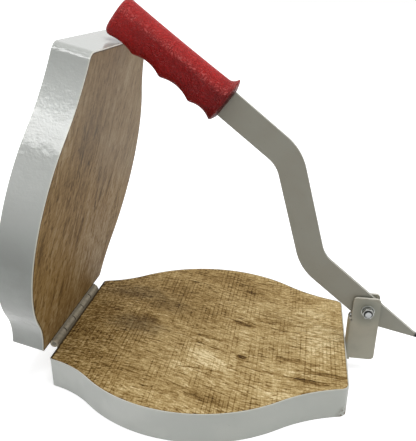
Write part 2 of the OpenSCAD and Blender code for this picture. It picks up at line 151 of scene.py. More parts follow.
for name, centre, aim, size, power in (
        ("softbox", (-0.35, -0.80, 1.34), (-0.14, -0.10, 0.30), (0.85, 0.40), 8.0),
        ("diffuser", (0.55, -0.15, 2.60), (0.05, 0.0, 0.0), (1.8, 1.6), 27.0)):
    lamp = bpy.data.lights.new(name, "AREA")
    lamp.shape = "RECTANGLE"
    lamp.size, lamp.size_y = size
    lamp.energy = power
    holder = bpy.data.objects.new(name, lamp)
    holder.location = centre
    holder.rotation_euler = (Vector(aim) - Vector(centre)).to_track_quat("-Z", "Y").to_euler()
    holder.visible_diffuse = name != "softbox"
    bpy.context.scene.collection.objects.link(holder)


# ---------- pressing faces ----------
# Each board's pressing face is a printed laminate sheet: rustic oak with its sawn surface,
# pressed on under heat and left satin. The grain runs from the hinge to the lever.
# The hinge pin's axis, and how far the lid stands open
HINGE = (-0.1446, 0, 0.0323)
LID_ANGLE = math.radians(75.9)
# The grain leans across by 0.12 mm in each mm along, and swings 28 mm more over the middle
LEAN, SWING, SWING_START, SWING_END = 0.12, 28, -70, 80
# How far noise eats into the rim of a patch, as a share of its reach
RAGGED = 0.9
SAW_PITCH = 4.0
BORDER = 2.0 * MM


def on_board(tree, lid):
    """Millimetres along and across a board: X from its middle towards the lever end, Y across."""
    where = add(tree, "TexCoord")
    if not lid:
        return add(tree, "Mapping", {"Vector": where.outputs["Object"], "Scale": (MM, MM, MM)},
                   vector_type="TEXTURE")
    turned = add(tree, "Mapping", {
        "Vector": where.outputs["Object"], "Location": HINGE, "Rotation": (0, -LID_ANGLE, 0),
        "Scale": (MM, MM, MM)}, vector_type="TEXTURE")
    return add(tree, "VectorMath", {0: turned, 1: (HINGE[0] / MM, 0, 0)}, operation="ADD")


def stretched_noise(tree, vector, size, detail, roughness, seed):
    """Noise whose spots are about size = (along, across) millimetres."""
    scaled = add(tree, "VectorMath", {0: vector, 1: (1 / size[0], 1 / size[1], 0)}, operation="MULTIPLY")
    return add(tree, "TexNoise", {
        "Vector": scaled, "W": seed, "Scale": 1.0, "Detail": detail, "Roughness": roughness},
        noise_dimensions="4D")


def soft_step(tree, value, low, high, to_low=0.0, to_high=1.0):
    """How far a value has come from low to high, with soft ends."""
    return add(tree, "MapRange", {
        "Value": value, "From Min": low, "From Max": high, "To Min": to_low, "To Max": to_high},
        interpolation_type="SMOOTHSTEP")


def layered(tree, colour, layers):
    """A ground colour under layers of others: (share, hex colour), the lowest first."""
    for share, hex_colour in layers:
        colour = add(tree, "Mix", {0: share, 6: colour, 7: linear(hex_colour)}, data_type="RGBA").outputs[2]
    return colour


def lean(along):
    """How far the printed grain has swung across at a place along the board, in mm."""
    step = min(1, max(0, (along - SWING_START) / (SWING_END - SWING_START)))
    return LEAN * along + SWING * step * step * (3 - 2 * step)


def smudges(tree, vector, places, sway, soft, seed):
    """The strongest of a few long soft patches: (along, across, half length, half width, strength);
    sway = share of the grain's lean."""
    ragged = stretched_noise(tree, vector, (16, 6), 3, 0.6, seed)
    total = 0.0
    for along, across, half_length, half_width, strength in places:
        off = add(tree, "VectorMath", {0: vector, 1: (along, across + lean(along) * sway, 0)},
                  operation="SUBTRACT")
        sized = add(tree, "VectorMath", {0: off, 1: (1 / half_length, 1 / half_width, 0)},
                    operation="MULTIPLY")
        reach = add(tree, "VectorMath", {0: sized}, operation="LENGTH").outputs["Value"]
        inner = add(tree, "Math", {0: reach, 1: RAGGED / 2}, operation="SUBTRACT")
        uneven = add(tree, "Math", {0: ragged, 1: RAGGED, 2: inner}, operation="MULTIPLY_ADD")
        patch = soft_step(tree, uneven, 1.0, soft, 0.0, strength)
        total = add(tree, "Math", {0: total, 1: patch}, operation="MAXIMUM")
    return total


def cracks(tree, vector, places, seed):
    """A few dark hairlines: (start along, across, end along, across, bow, half width)."""
    split = add(tree, "SeparateXYZ", {0: vector})
    wander = add(tree, "Math", {0: stretched_noise(tree, vector, (12, 30), 3, 0.6, seed), 1: 0.5},
                 operation="SUBTRACT")
    gaps = stretched_noise(tree, vector, (9, 40), 2, 0.5, seed + 1)
    broken = soft_step(tree, gaps, 0.36, 0.56, 0.25, 1.0)
    total = 0.0
    for x0, y0, x1, y1, bow, half_width in places:
        past_start = add(tree, "Math", {0: split.outputs[0], 1: x0}, operation="SUBTRACT")
        share = add(tree, "Math", {0: past_start, 1: x1 - x0}, operation="DIVIDE")
        to_end = add(tree, "Math", {0: 1.0, 1: share}, operation="SUBTRACT")
        arch = add(tree, "Math", {0: share, 1: to_end}, operation="MULTIPLY")
        bowed = add(tree, "Math", {0: arch, 1: 4 * bow, 2: y0}, operation="MULTIPLY_ADD")
        line = add(tree, "Math", {0: share, 1: y1 - y0, 2: bowed}, operation="MULTIPLY_ADD")
        line = add(tree, "Math", {0: wander, 1: 6.0, 2: line}, operation="MULTIPLY_ADD")
        off = add(tree, "Math", {0: split.outputs[1], 1: line}, operation="SUBTRACT")
        off = add(tree, "Math", {0: off}, operation="ABSOLUTE")
        begun = soft_step(tree, share, -0.03, 0.2)
        inside = add(tree, "Math", {0: begun, 1: soft_step(tree, share, 1.03, 0.75)}, operation="MULTIPLY")
        hairline = add(tree, "Math", {0: inside, 1: soft_step(tree, off, half_width, 0.1)},
                       operation="MULTIPLY")
        total = add(tree, "Math", {0: total, 1: hairline}, operation="MAXIMUM")
    depth = add(tree, "Math", {0: total, 1: broken}, operation="MULTIPLY")
    return add(tree, "Math", {0: depth, 1: 0.42}, operation="MULTIPLY")


def oak_laminate(name, lid, tones, rise, width, sway, shades, lights, knots, hairlines, marks, painted_haze,
                 glue, sheen, seed, dark_grey_patches=()):
    """Printed oak. tones = colours from the darkest to the palest; rise = tone at the hinge and past
    the middle, on the base lower at the hinge as painted shade from the open lid; width = how much
    wider than on the base its marks are drawn; sway = share of the lean;
    marks = depth of the (patches, streaks, fibres, flecks, pores, saw marks, speckle, grit);
    bleach = share of a painted grey haze of reflection at the lever end; glue = depth of the glue
    line round the border; smoky = places blended towards dark grey, given as the shades are."""
    material, tree = new_material(name)
    flat = on_board(tree, lid)
    split = add(tree, "SeparateXYZ", {0: flat})
    along = split.outputs[0]
    # The grain leans towards the near side on its way, most of all over the middle
    drift = add(tree, "Math", {0: stretched_noise(tree, flat, (80, 40), 2, 0.5, seed), 1: 0.5},
                operation="SUBTRACT")
    leaning = add(tree, "Math", {0: along, 1: LEAN * sway, 2: split.outputs[1]}, operation="MULTIPLY_ADD")
    swung = soft_step(tree, along, SWING_START, SWING_END, 0, SWING * sway)
    leaning = add(tree, "Math", {0: leaning, 1: swung}, operation="ADD")
    across = add(tree, "Math", {0: drift, 1: 12.0, 2: leaning}, operation="MULTIPLY_ADD")
    grain = add(tree, "CombineXYZ", {0: along, 1: across})

    def print_layer(size, detail, low, high, depth, offset, vector=grain):
        """Noise pulled apart between low and high, centred on nothing, times its depth."""
        noise = stretched_noise(tree, vector, (size[0], size[1] * width), detail, 0.6, seed + offset)
        return add(tree, "Math", {0: soft_step(tree, noise, low, high, -0.5, 0.5), 1: depth},
                   operation="MULTIPLY")

    patches, streaks, fibres, flecks, pores, saw, speckle, grit = marks
    # Painted shade: on the base the tone falls towards the hinge, where the open lid shades it
    tone = soft_step(tree, along, -130, 0, *rise)
    fleck = print_layer((7, 2.4), 2, 0.38, 0.62, flecks, 4)
    # Fibres, flecks and grit of open grain are drawn 2 to 3 mm wide, about three times their real
    # width, so that they show
    for layer in (
            print_layer((60, 28), 3, 0.25, 0.75, patches, 1),
            print_layer((85, 9), 4, 0.28, 0.72, streaks, 2),
            print_layer((30, 3.0), 3, 0.34, 0.66, fibres, 3),
            fleck,
            print_layer((9, 1.9), 1, 0.38, 0.62, grit, 15),
            print_layer((1.5, 2.3), 0, 0.36, 0.64, grit * 0.5, 17)):
        tone = add(tree, "Math", {0: tone, 1: layer}, operation="ADD")
    # Pores: dark dashes, short and long, drawn 2 mm wide, many times their real width, so that they show
    dashes = stretched_noise(tree, grain, (9, 2.0 * width), 2, 0.5, seed + 5)
    long_dashes = stretched_noise(tree, grain, (38, 2.2 * width), 2, 0.5, seed + 14)
    pore = add(tree, "Math", {
        0: soft_step(tree, dashes, 0.58, 0.64, 0, pores),
        1: soft_step(tree, long_dashes, 0.59, 0.65, 0, pores)}, operation="MAXIMUM")
    tone = add(tree, "Math", {0: tone, 1: pore}, operation="SUBTRACT")
    # Saw marks stand across the grain about every 4 mm, in bands where the saw bit deeper
    bite = stretched_noise(tree, flat, (34, 50), 3, 0.6, seed + 6)
    skips = stretched_noise(tree, flat, (3, 50), 1, 0.5, seed + 16)
    bands = add(tree, "Math", {
        0: soft_step(tree, bite, 0.42, 0.60, 0.0, saw),
        1: soft_step(tree, skips, 0.35, 0.60, 0.4, 1.0)}, operation="MULTIPLY")
    wobble = add(tree, "Math", {0: stretched_noise(tree, flat, (40, 500), 2, 0.5, seed + 7), 1: 26.0},
                 operation="MULTIPLY")
    phase = add(tree, "Math", {0: along, 1: 2 * math.pi / SAW_PITCH, 2: wobble}, operation="MULTIPLY_ADD")
    tooth = add(tree, "Math", {0: phase}, operation="SINE")
    cut = add(tree, "Math", {0: soft_step(tree, tooth, 0.45, 0.95), 1: bands}, operation="MULTIPLY")
    tone = add(tree, "Math", {0: tone, 1: cut}, operation="SUBTRACT")
    # Beside the hinge the print is speckled, as if woven
    weave = add(tree, "Math", {
        0: print_layer((3.6, 2.4), 1, 0.38, 0.62, 1.0, 8),
        1: print_layer((1.7, 14), 1, 0.38, 0.62, 0.5, 9, flat)}, operation="ADD")
    drifted = add(tree, "Math", {0: drift, 1: 90.0, 2: along}, operation="MULTIPLY_ADD")
    beside = soft_step(tree, drifted, -45, -105, speckle * 0.35, speckle)
    tone = add(tree, "Math", {0: weave, 1: beside, 2: tone}, operation="MULTIPLY_ADD")
    # Darker and paler patches, some of them painted shade and light, knots and hairline cracks
    shaded = smudges(tree, grain, shades, sway, 0.3, seed + 10)
    tone = add(tree, "Math", {0: tone, 1: shaded}, operation="SUBTRACT")
    lighter = smudges(tree, grain, lights, sway, 0.1, seed + 11)
    tone = add(tree, "Math", {0: tone, 1: lighter}, operation="ADD")
    eyes = add(tree, "Math", {
        0: smudges(tree, grain, knots, sway, 0.45, seed + 12),
        1: cracks(tree, flat, hairlines, seed + 13)}, operation="MAXIMUM")
    tone = add(tree, "Math", {0: tone, 1: eyes}, operation="SUBTRACT")
    # The line of glue and dirt round the border, deepened beside the hinge with painted shade from the gap
    # there
    border = add(tree, "Attribute", attribute_name="glue_line").outputs["Fac"]
    line = add(tree, "Math", {
        0: soft_step(tree, border, 0.2, 0.9),
        1: soft_step(tree, along, -131, -137, glue, 0.62)}, operation="MULTIPLY")
    tone = add(tree, "Math", {0: tone, 1: line}, operation="SUBTRACT")
    ramp = add(tree, "ValToRGB", {0: tone})
    stops = ramp.color_ramp.elements
    stops[0].position, stops[0].color = 0.0, linear(tones[0])
    stops[1].position, stops[1].color = 1.0, linear(tones[-1])
    for k, hex_colour in enumerate(tones[1:-1], 1):
        stops.new(k / (len(tones) - 1)).color = linear(hex_colour)

    # A painted grey haze of reflection comes in from the lever end, and further along the far side
    haze_reach = add(tree, "Math", {0: drift, 1: 60.0, 2: along}, operation="MULTIPLY_ADD")
    haze_reach = add(tree, "Math", {0: split.outputs[1], 1: 0.45, 2: haze_reach}, operation="MULTIPLY_ADD")
    # Blends towards the haze grey, then towards dark grey in a few patches
    colour = layered(tree, ramp, (
        (soft_step(tree, haze_reach, -15, 60, 0.0, painted_haze), "#998b78"),
        (smudges(tree, grain, dark_grey_patches, sway, 0.2, seed + 18), "#40382e")))

    relief = add(tree, "Math", {0: pore, 1: -1.2, 2: fleck}, operation="MULTIPLY_ADD")
    relief = add(tree, "Math", {0: relief, 1: cut}, operation="SUBTRACT")
    relief = add(tree, "Math", {0: eyes, 1: -0.8, 2: relief}, operation="MULTIPLY_ADD")
    bump = add(tree, "Bump", {"Height": relief, "Distance": 0.12 * MM, "Strength": 0.5})
    skin = add(tree, "BsdfPrincipled", {
        "Base Color": colour, "Roughness": soft_step(tree, tone, 0.1, 0.9, 0.66, 0.54),
        "Normal": bump, "IOR": 1.5, "Specular IOR Level": sheen})
    add(tree, "OutputMaterial", {"Surface": skin})
    return material


def merged(node):
    """A copy of a CAD node's mesh, and a bmesh of it with its triangles joined into whole faces."""
    mesh = nodes[node].data.copy()
    shape = bmesh.new()
    shape.from_mesh(mesh)
    bmesh.ops.remove_doubles(shape, verts=shape.verts, dist=0.002 * MM)
    bmesh.ops.dissolve_limit(shape, angle_limit=math.radians(0.15), verts=shape.verts, edges=shape.edges)
    return mesh, shape


def face_sheet(name, node, material, body, normal):
    """A merged copy of a board's face sheet, with a dark line of glue and dirt round its border."""
    mesh, shape = merged(node)
    line = shape.verts.layers.float.new("glue_line")
    face = max((f for f in shape.faces if f.normal.dot(normal) > 0.9), key=lambda f: f.calc_area())
    for vertex in face.verts:
        vertex[line] = 1.0
    bmesh.ops.inset_region(shape, faces=[face], thickness=BORDER, depth=0.0, use_even_offset=True)
    for vertex in face.verts:
        vertex[line] = 0.0
    piece = put_in_scene(name, mesh, shape, material)
    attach(piece, body)
    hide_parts(node)


def dress(node, material):
    """Gives a CAD node its finish."""
    nodes[node].data.materials.clear()
    nodes[node].data.materials.append(material)


base_laminate = oak_laminate(
    "satin_printed_oak_laminate_base", False, ("#38260f", "#6b5027", "#9a7e4c", "#c4aa75", "#f2dfb0"),
    rise=(0.51, 0.69), width=1.0, sway=1.0,
    shades=((-99, 56, 34, 9, 0.14), (-68, 8, 26, 15, 0.20), (-116, 10, 22, 40, 0.10),
            (118, -62, 36, 4.5, 0.32), (104, -77, 30, 4.5, 0.34), (92, -46, 26, 5, 0.24),
            (16, -112, 34, 12, 0.20), (2, -19, 26, 4, 0.24), (10, 108, 95, 40, 0.18),
            (-32, 78, 54, 32, 0.18), (85, 78, 40, 14, 0.10), (70, 22, 44, 5, 0.10),
            (-28, 34, 68, 48, 0.17)),
    lights=((8, -56, 38, 20, 0.27), (112, -6, 46, 44, 0.14), (80, -98, 40, 10, 0.14), (-52, 17, 12, 3, 0.2),
            (-50, -112, 30, 7, 0.12), (40, -5, 24, 8, 0.14), (105, 50, 30, 18, 0.14),
            (-14, -70, 44, 14, 0.10)),
    knots=((-32, 98, 8, 3.0, 0.30), (36, 84, 10, 3.0, 0.30), (35, 14, 19, 4.2, 0.40),
           (40, -49, 8, 4.6, 0.52), (44, -8, 9, 3, 0.26)),
    hairlines=((-14, -27, 31, -46, 1, 1.6), (8, 31, 56, 10, 1, 1.4), (56, 10, 138, -6, 1, 1.4),
               (-24, -73, 30, -77, 2, 1.6), (-57, -120, -44, -124, 0, 2.2), (62, -68, 131, -77, 0, 1.6)),
    marks=(0.11, 0.10, 0.08, 0.11, 0.28, 0.25, 0.24, 0.20), painted_haze=0.0, glue=0.10, sheen=0.1, seed=3.1,
    dark_grey_patches=((-76, -6, 46, 24, 0.40), (-88, 60, 60, 22, 0.32), (-50, 40, 40, 24, 0.2)))
# The lid's sheet is the same laminate as the base's; its copy gets duller, greyer tones as painted shade,
# since its face is turned from the light
lid_laminate_painted_shade = oak_laminate(
    "satin_printed_oak_laminate_lid_painted_shade", True, ("#3a2811", "#6d522a", "#967848", "#b59e76", "#d6c6a4"),
    rise=(0.53, 0.52), width=2.0, sway=-0.6,
    shades=((-90, -59, 26, 7, 0.20), (-28, -30, 34, 7, 0.18), (67, -10, 22, 5, 0.14),
            (-20, 38, 60, 10, 0.06), (38, -50, 92, 64, 0.17), (108, -36, 50, 60, 0.10),
            (15, -112, 60, 14, 0.16)),
    lights=((-98, 31, 34, 22, 0.10), (25, 62, 50, 18, 0.08), (-74, -12, 50, 44, 0.12),
            (-96, -70, 46, 18, 0.10)),
    knots=((35, 22, 5, 2.5, 0.12),),
    hairlines=((-90, 10, 20, 0, 2, 1.6), (20, -60, 90, -66, 2, 1.6)),
    marks=(0.20, 0.18, 0.12, 0.08, 0.20, 0.0, 0.08, 0.10), painted_haze=0.42, glue=0.5, sheen=0.15, seed=11.7)
lid_facing = Vector((math.sin(LID_ANGLE), 0, -math.cos(LID_ANGLE)))
face_sheet("oak_sheet_base", "base_face_sheet", base_laminate, "base", Vector((0, 0, 1)))
face_sheet("oak_sheet_lid", "lid_face_sheet", lid_laminate_painted_shade, "lid", lid_facing)


# ---------- board cores and back sheets ----------
# The boards are particle board about 29 mm thick. Their backs carry the same laminate in a
# plainer print, as the backing that keeps a board from warping.
backing = {
    "tones": ("#3a2710", "#6d5129", "#997c4b", "#bba06e", "#e4cd9c"), "rise": (0.52, 0.56), "width": 1.0,
    "sway": 0.3, "lights": ((0, 0, 60, 40, 0.08),), "painted_haze": 0.0, "glue": 0.3, "sheen": 0.15,
    "marks": (0.24, 0.26, 0.14, 0.13, 0.22, 0.12, 0.0, 0.14)}
dress("base_back_sheet", oak_laminate(
    "satin_printed_oak_backing_base", False, shades=((40, 50, 60, 14, 0.16), (-60, -40, 50, 12, 0.16)),
    knots=((60, -40, 9, 4, 0.3), (-30, 70, 7, 3, 0.3)), hairlines=((-50, 20, 30, 26, 3, 1.4),), seed=23.4,
    **backing))
dress("lid_back_sheet", oak_laminate(
    "satin_printed_oak_backing_lid", True, shades=((30, -40, 60, 14, 0.16), (-40, 60, 50, 12, 0.16)),
    knots=((50, 30, 9, 4, 0.3), (-50, -60, 7, 3, 0.3)), hairlines=((-40, -20, 60, -10, 3, 1.4),), seed=31.9,
    **backing))

# Flakes about 2.5 mm long, pressed with resin
chipboard, tree = new_material("pressed_particle_board")
where = add(tree, "TexCoord")
flakes = add(tree, "TexVoronoi", {"Vector": where.outputs["Object"], "Scale": 1 / (2.5 * MM)})
colour = layered(tree, linear("#c2a477"), (
    (soft_step(tree, flakes.outputs["Distance"], 0.0, 0.9), "#8d6c43"),))
skin = add(tree, "BsdfPrincipled", {"Base Color": colour, "Roughness": 0.85})
add(tree, "OutputMaterial", {"Surface": skin})
dress("base_core", chipboard)
dress("lid_core", chipboard)


# ---------- edge bands ----------
# A light grey plastic band, 1 mm thick, is glued round each board and its outer edges are
# rounded with a scraper. The lid's is glossier and shows the ripple of the glue line.
SHARP = math.radians(32)


def softened(name, node, width, material, body):
    """A merged copy of a CAD node with its sharp edges rounded, which stands for the node."""
    mesh, shape = merged(node)
    sharp = [e for e in shape.edges if e.is_manifold and e.calc_face_angle(0) > SHARP]
    bmesh.ops.bevel(shape, geom=sharp, offset=width, offset_type="OFFSET", affect="EDGES",
                    segments=2, profile=0.5, material=-1, clamp_overlap=True)
    for face in shape.faces:
        face.smooth = True
    piece = put_in_scene(name, mesh, shape, material)
    mesh.set_sharp_from_angle(angle=SHARP)
    flat_faces = piece.modifiers.new("flat faces", "WEIGHTED_NORMAL")
    flat_faces.keep_sharp = True
    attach(piece, body)
    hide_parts(node)


def plastic_band(name, lid, face_height, band_shading_greys, bare_steel_and_rim_highlight, roughness, sheen, ripple, worn):
    """Edge banding with painted shading: greys = (along, colour) at a few places along the board, which
    follow how the light falls along the band; face_height = the pressing face in board mm, bared = share
    of painted cream highlight on its rim, ripple = height of the glue line's waves in mm, worn = (along,
    across, height, reach) of knocked places in board mm."""
    material, tree = new_material(name)
    flat = on_board(tree, lid)
    where = add(tree, "TexCoord")
    cloud = add(tree, "TexNoise", {
        "Vector": where.outputs["Object"], "Scale": 1 / (38 * MM), "Detail": 3, "Roughness": 0.5})
    # Specks of dirt, about 1 mm, few and faint
    specks = add(tree, "TexNoise", {
        "Vector": where.outputs["Object"], "Scale": 1 / (2.2 * MM), "Detail": 2, "Roughness": 0.6})
    # Scuffs, where a corner has been knocked
    chips = add(tree, "TexNoise", {
        "Vector": where.outputs["Object"], "Scale": 1 / (4 * MM), "Detail": 4, "Roughness": 0.65})
    chipped = soft_step(tree, chips, 0.42, 0.60)
    scuffed = 0.0
    for along, across, height, reach in worn:
        off = add(tree, "VectorMath", {0: flat, 1: (along, across, height)}, operation="DISTANCE")
        near = soft_step(tree, off.outputs["Value"], reach, reach * 0.15)
        scuff = add(tree, "Math", {0: near, 1: chipped}, operation="MULTIPLY")
        scuffed = add(tree, "Math", {0: scuffed, 1: scuff}, operation="MAXIMUM")
    # The rim beside the face sheet, with a painted cream highlight where its rounded edge catches the light
    split = add(tree, "SeparateXYZ", {0: flat})
    rim = add(tree, "Math", {0: split.outputs[2], 1: face_height}, operation="SUBTRACT")
    rim = add(tree, "Math", {0: rim}, operation="ABSOLUTE")
    # and painted shade in the gap behind the hinge
    hinge_gap_shade = add(tree, "Math", {
        0: soft_step(tree, split.outputs[0], -138.5, -139.0),
        1: soft_step(tree, rim, 4.0, 2.0)}, operation="MULTIPLY")
    # Painted shading: the greys along the band stand in for how the light falls on it from end to end
    colour = layered(tree, linear(band_shading_greys[0][1]), [
        (soft_step(tree, split.outputs[0], start, end), hex_colour)
        for (start, _), (end, hex_colour) in zip(band_shading_greys, band_shading_greys[1:])])
    colour = layered(tree, colour, (
        (soft_step(tree, cloud, 0.35, 0.65, 0.0, 0.25), "#b4b9b2"),
        (soft_step(tree, specks, 0.70, 0.80, 0.0, 0.35), "#8d8f86"),
        (scuffed, "#6c5b43"),
        (soft_step(tree, rim, 0.9, 0.4, 0.0, bare_steel_and_rim_highlight), "#dedbc8"),
        (hinge_gap_shade, "#40361f")))
    waves = add(tree, "TexNoise", {
        "Vector": where.outputs["Object"], "Scale": 1 / (7 * MM), "Detail": 1, "Roughness": 0.5})
    peel = add(tree, "TexNoise", {
        "Vector": where.outputs["Object"], "Scale": 1 / (1.9 * MM), "Detail": 2, "Roughness": 0.55})
    relief = add(tree, "Math", {0: waves, 1: 0.75}, operation="MULTIPLY")
    relief = add(tree, "Math", {0: peel, 1: 0.42, 2: relief}, operation="MULTIPLY_ADD")
    # The ripple dies away on the boards' straight ends
    facing = add(tree, "SeparateXYZ", {0: where.outputs["Normal"]})
    sideways = add(tree, "Math", {0: facing.outputs[1]}, operation="ABSOLUTE")
    bump = add(tree, "Bump", {
        "Height": relief, "Distance": ripple * MM,
        "Strength": soft_step(tree, sideways, 0.1, 0.6, 0.15, 1.0)})
    rough = soft_step(tree, cloud, 0.3, 0.7, roughness, roughness + 0.07)
    rough = add(tree, "Math", {0: scuffed, 1: 0.4, 2: rough}, operation="MULTIPLY_ADD")
    skin = add(tree, "BsdfPrincipled", {
        "Base Color": colour, "Roughness": rough, "Normal": bump, "IOR": 1.53, "Specular IOR Level": sheen})
    add(tree, "OutputMaterial", {"Surface": skin})
    return material


# Painted shading along each band, lighter and darker where the light falls more and less
base_band_painted_shading = ((-130, "#e3e5de"), (70, "#c9cbc2"))
lid_band_painted_shading = ((-120, "#9da099"), (-25, "#8e918a"), (45, "#cbcdc7"), (75, "#bfc1bb"), (98, "#d9dbd5"),
             (138, "#bcbeb8"))
base_pvc = plastic_band("satin_pvc_edge_band_base", False, 30.3, base_band_painted_shading, bare_steel_and_rim_highlight=0.15, roughness=0.38,
                        sheen=0.25, ripple=0.05, worn=((140, -77, 1, 14),))
lid_pvc = plastic_band("glossy_pvc_edge_band_lid", True, 2.0, lid_band_painted_shading, bare_steel_and_rim_highlight=0.8, roughness=0.09,
                       sheen=0.5, ripple=0.45, worn=((138, -76, -30, 6),))
softened("edge_band_base", "base_edge_band", 0.5 * MM, base_pvc, "base")
softened("edge_band_lid", "lid_edge_band", 0.5 * MM, lid_pvc, "lid")


# ---------- hinge ----------
# A rolled steel butt hinge, zinc plated and dulled, with five knuckles on one pin. Each leaf
# lies on a board's end and is held by four countersunk screws.
KNUCKLE, BARREL_RADIUS = 24, 4.0
# The axis of the bolt that the lever turns on
BOLT = (0.157, 0, 0.0695)


def from_axis(tree, where, axis):
    """How far a place lies from an axis that runs across the press."""
    sideways = add(tree, "VectorMath", {0: where.outputs["Object"], 1: (1, 0, 1)}, operation="MULTIPLY")
    return add(tree, "VectorMath", {0: sideways, 1: axis}, operation="DISTANCE").outputs["Value"]


def zinc(name, hex_colour, roughness, tarnish, joints=False, crevice_shade=()):
    """Zinc plate; joints = dirt between the knuckles; soiled = rings of painted crevice shade round the
    bolt's axis as (inner radius, outer radius) in mm."""
    material, tree = new_material(name)
    where = add(tree, "TexCoord")
    bloom = add(tree, "TexNoise", {
        "Vector": where.outputs["Object"], "Scale": 1 / (3.5 * MM), "Detail": 5, "Roughness": 0.65})
    layers = [(soft_step(tree, bloom, 0.35, 0.7, 0.0, tarnish), "#55534c")]
    if joints:
        split = add(tree, "SeparateXYZ", {0: where.outputs["Object"]})
        off = add(tree, "Math", {0: split.outputs[1]}, operation="ABSOLUTE")
        # Folded on itself twice, so that each of the four joints lies at nothing
        for fold in (KNUCKLE, KNUCKLE / 2):
            off = add(tree, "Math", {0: off, 1: fold * MM}, operation="SUBTRACT")
            off = add(tree, "Math", {0: off}, operation="ABSOLUTE")
        radius = from_axis(tree, where, HINGE)
        dirt = add(tree, "Math", {
            0: soft_step(tree, off, 0.95 * MM, 0.4 * MM, 0, 0.85),
            1: soft_step(tree, radius, (BARREL_RADIUS + 0.4) * MM, (BARREL_RADIUS - 0.1) * MM)},
            operation="MULTIPLY")
        layers.append((dirt, "#1d1a14"))
    # Painted shade in the crevices round the nut's base and the bolt's end
    for inner, outer in crevice_shade:
        radius = from_axis(tree, where, BOLT)
        ring = add(tree, "Math", {
            0: soft_step(tree, radius, (inner - 0.3) * MM, (inner + 0.3) * MM),
            1: soft_step(tree, radius, (outer + 0.3) * MM, (outer - 0.3) * MM)}, operation="MULTIPLY")
        layers.append((add(tree, "Math", {0: ring, 1: 0.85}, operation="MULTIPLY"), "#1c1b18"))
    colour = layered(tree, linear(hex_colour), layers)
    # The grain of the plating, drawn 0.7 mm wide, coarser than it is, so that it dulls the gloss
    fine = add(tree, "TexNoise", {"Vector": where.outputs["Object"], "Scale": 1 / (0.7 * MM), "Detail": 2})
    bump = add(tree, "Bump", {"Height": fine, "Distance": 0.02 * MM, "Strength": 0.5})
    skin = add(tree, "BsdfPrincipled", {
        "Base Color": colour, "Metallic": 1.0, "Normal": bump,
        "Roughness": soft_step(tree, bloom, 0.3, 0.7, roughness, roughness + 0.15)})
    add(tree, "OutputMaterial", {"Surface": skin})
    return material


dull_zinc = zinc("dulled_zinc_plated_hinge_steel", "#999180", 0.60, 0.22, joints=True)
screw_zinc = zinc("zinc_plated_screw_steel", "#b9bab6", 0.30, 0.35)
softened("hinge_leaf_on_base", "hinge_leaf_base", 0.25 * MM, dull_zinc, "base")
softened("hinge_leaf_on_lid", "hinge_leaf_lid", 0.25 * MM, dull_zinc, "lid")
dress("hinge_pin", zinc("drawn_steel_hinge_pin", "#6f6b60", 0.50, 0.3))
for node in ("hinge_screws_base", "hinge_screws_lid", "bracket_screws"):
    dress(node, screw_zinc)


# ---------- bracket and lever bar ----------
# The bracket is folded from 2.7 mm sheet and the lever is a 25.4 x 4.8 mm flat bar, bent cold and
# cut to a slant at its nose. Both are sprayed with one coat of warm grey enamel.
def grey_enamel(name, hex_colour, painted_highlight, bare=()):
    """Sprayed enamel; rubbed = how much paler the faces that look up are painted, as a painted highlight;
    bare = places in mm, (x, y, z, reach), where the cut steel shows."""
    material, tree = new_material(name)
    where = add(tree, "TexCoord")
    cloud = add(tree, "TexNoise", {
        "Vector": where.outputs["Object"], "Scale": 1 / (30 * MM), "Detail": 4, "Roughness": 0.55})
    dust = add(tree, "TexNoise", {
        "Vector": where.outputs["Object"], "Scale": 1 / (1.6 * MM), "Detail": 3, "Roughness": 0.6})
    facing = add(tree, "SeparateXYZ", {0: where.outputs["Normal"]})
    # Clouds in the coat, dust, the greasy place round the bolt, where hands rarely wipe, and a painted
    # highlight on the faces that look up
    colour = layered(tree, linear(hex_colour), (
        (soft_step(tree, cloud, 0.35, 0.65), "#948f80"),
        (0.55, hex_colour),
        (soft_step(tree, dust, 0.66, 0.78, 0.0, 0.4), "#5e5b50"),
        (soft_step(tree, from_axis(tree, where, BOLT), 20 * MM, 7 * MM, 0, 0.75), "#85877a"),
        (soft_step(tree, facing.outputs[2], 0.45, 0.8, 0, painted_highlight), "#dcd8cb")))
    peel = add(tree, "TexNoise", {
        "Vector": where.outputs["Object"], "Scale": 1 / (1.8 * MM), "Detail": 2, "Roughness": 0.5})
    bump = add(tree, "Bump", {"Height": peel, "Distance": 0.05 * MM, "Strength": 0.5})
    paint = add(tree, "BsdfPrincipled", {
        "Base Color": colour, "Roughness": soft_step(tree, cloud, 0.3, 0.7, 0.36, 0.48),
        "Normal": bump, "IOR": 1.5, "Specular IOR Level": 0.5})
    uneven = add(tree, "Math", {0: dust, 1: 0.5}, operation="SUBTRACT")
    bare_steel_and_rim_highlight = 0.0
    for x, y, z, reach in bare:
        off = add(tree, "VectorMath", {0: where.outputs["Object"], 1: (x * MM, y * MM, z * MM)},
                  operation="DISTANCE").outputs["Value"]
        off = add(tree, "Math", {0: uneven, 1: 2 * MM, 2: off}, operation="MULTIPLY_ADD")
        spot = soft_step(tree, off, reach * MM, reach * 0.75 * MM)
        bare_steel_and_rim_highlight = add(tree, "Math", {0: bare_steel_and_rim_highlight, 1: spot}, operation="MAXIMUM")
    steel = add(tree, "BsdfPrincipled", {
        "Base Color": linear("#141312"), "Roughness": 0.6, "IOR": 1.5, "Specular IOR Level": 0.2})
    both = add(tree, "MixShader", {0: bare_steel_and_rim_highlight, 1: paint, 2: steel})
    add(tree, "OutputMaterial", {"Surface": both})
    return material


